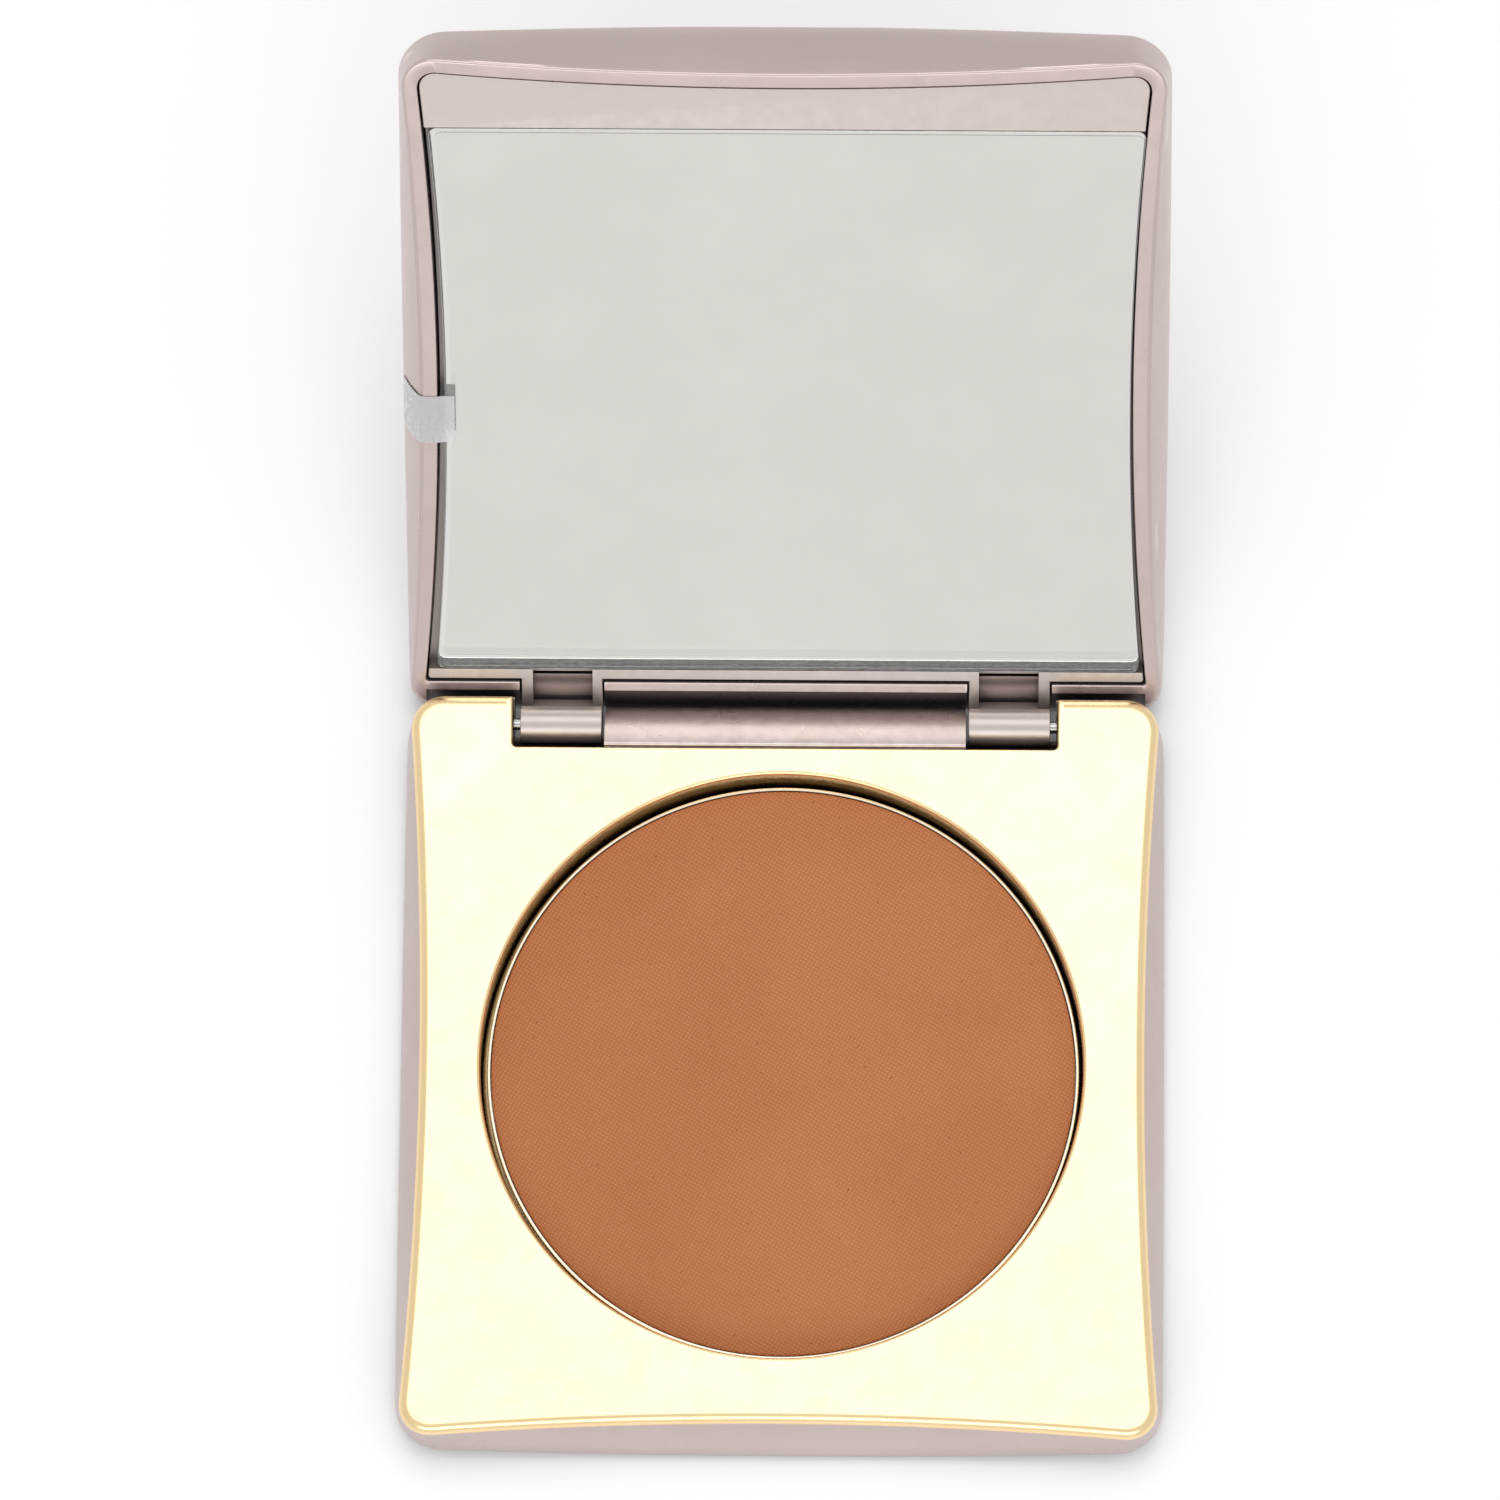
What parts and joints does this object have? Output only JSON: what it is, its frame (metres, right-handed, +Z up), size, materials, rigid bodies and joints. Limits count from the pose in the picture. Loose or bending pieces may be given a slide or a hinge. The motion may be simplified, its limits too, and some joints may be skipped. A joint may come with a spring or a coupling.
{
  "type": "powder compact",
  "caption": "Square pillow-sided cosmetic compact, open: mirror lid on two hinge knuckles over a tray with a round pan of pressed powder.",
  "frame": {"origin": "centre of the open compact's footprint, on the surface that the base lies on", "axes": "+X to the right, +Y towards the hinge and the leaning lid, +Z up; the lid is open at rest"},
  "size_m": [0.0762, 0.1316, 0.0563],
  "materials": {
    "case": "vacuum-metallised satin rose taupe",
    "tray": "vacuum-metallised satin gold",
    "pan": "bright tinplate",
    "powder": "matt pressed powder with a woven imprint",
    "adhesive": "foam tape",
    "label": "blank matt label",
    "magnet": "nickel-plated magnet",
    "pin": "bright drawn steel",
    "mirror": "back-silvered glass",
    "film": "clear protective film"
  },
  "bodies": {
    "base": {"base_shell": "case", "inner_tray": "tray", "powder_pan": "pan", "pressed_powder": "powder", "pan_adhesive_pad": "adhesive", "bottom_label": "label", "base_magnet_left": "magnet", "base_magnet_right": "magnet", "hinge_pin_left": "pin", "hinge_pin_right": "pin"},
    "lid": {"lid_shell": "case", "lid_inner_frame": "case", "mirror_glass": "mirror", "mirror_adhesive_pad": "adhesive", "mirror_film": "film", "film_pull_tab": "film", "lid_magnet_left": "magnet", "lid_magnet_right": "magnet"}
  },
  "joints": [
    {"name": "lid_hinge", "type": "hinge", "parent": "base", "child": "lid", "pos_m": [0, 0.0085, 0.0045], "axis": [-1, 0, 0], "range_deg": [-133.2, 0]}
  ]
}
